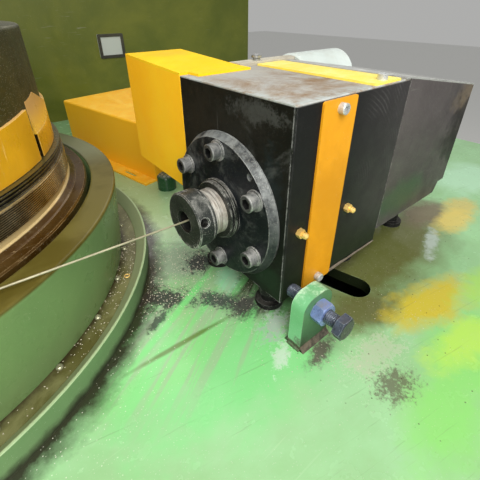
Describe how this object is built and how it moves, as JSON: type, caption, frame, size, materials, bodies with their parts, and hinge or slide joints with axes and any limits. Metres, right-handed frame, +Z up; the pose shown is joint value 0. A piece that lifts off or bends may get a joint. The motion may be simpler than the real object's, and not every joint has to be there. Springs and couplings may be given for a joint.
{
  "type": "single-block wire drawing machine",
  "caption": "Dry wire drawing machine station: vertical-axis capstan with coiled wire, turning die holder in a black die block, soap box, belt guards and jack screw on a green floor base.",
  "frame": {"origin": "on the capstan's axis at floor level, on the underside of the plinth", "axes": "+Z up along the capstan's axis, +X from the capstan to the die box, against the wire's travel, +Y towards the rear housing"},
  "size_m": [1.936, 1.8, 1.27],
  "materials": {
    "green_frame": "satin",
    "green_panel": "satin",
    "green_deck": "gloss",
    "green_boss": "gloss",
    "green_dark": "satin",
    "green_olive": "satin",
    "green_mint": "satin",
    "steel_bright": "machined",
    "steel_worn": "worn",
    "wire_steel": "drawn",
    "steel_black": "matt",
    "yellow": "gloss",
    "yellow_duct": "satin",
    "black_block": "worn",
    "steel_brown": "worn",
    "screw_black": "black oxide",
    "nut_dark": "black oxide",
    "brass": "polished",
    "seal_brown": "matt",
    "steel_lid": "worn",
    "knob_steel": "bright",
    "motor_pale": "satin",
    "rail_soapy": "worn",
    "glass_dark": "gloss",
    "bolt_blue": "black oxide"
  },
  "bodies": {
    "machine": {"plinth": "green_frame", "front_panel": "green_panel", "rear_panel": "green_panel", "left_panel": "green_panel", "right_panel": "green_panel", "deck": "green_deck", "deck_boss": "green_boss", "rear_housing": "green_dark", "housing_window": "glass_dark", "trough_lip": "green_deck", "capstan_base": "green_olive", "spindle": "steel_bright", "die_block": "black_block", "block_feet": "steel_black", "flange_plate": "steel_brown", "flange_screws": "screw_black", "seal_collar": "steel_black", "side_strap": "yellow", "top_strap": "yellow", "strap_screws": "screw_black", "brass_nipples": "brass", "side_gasket": "seal_brown", "soap_box": "black_block", "block_rail": "rail_soapy", "rail_knob": "knob_steel", "soap_lid": "steel_lid", "side_motor": "motor_pale", "soap_stand": "steel_black", "belt_guard": "yellow", "guard_lid": "yellow", "drive_duct": "yellow_duct", "jack_bracket": "green_mint", "jack_nut": "bolt_blue", "drawn_wire": "wire_steel"},
    "capstan": {"capstan_shell": "steel_worn", "wire_coils": "wire_steel", "grooved_band": "steel_black", "capstan_core": "steel_black", "capstan_segments": "yellow", "capstan_cap": "steel_black"},
    "die_holder": {"die_sleeve": "steel_brown", "die_nut": "nut_dark"},
    "jack_screw": {"jack_bolt": "bolt_blue"}
  },
  "joints": [
    {"name": "capstan_spin", "type": "hinge", "parent": "machine", "child": "capstan", "pos_m": [0, 0, 0.98], "axis": [0, 0, 1], "continuous": true},
    {"name": "die_holder_spin", "type": "hinge", "parent": "machine", "child": "die_holder", "pos_m": [0.439, -0.3193, 0.9885], "axis": [1, 0, 0], "continuous": true},
    {"name": "jack_screw_slide", "type": "slide", "parent": "machine", "child": "jack_screw", "axis": [0, -1, 0], "range_m": [0, 0.015]}
  ]
}
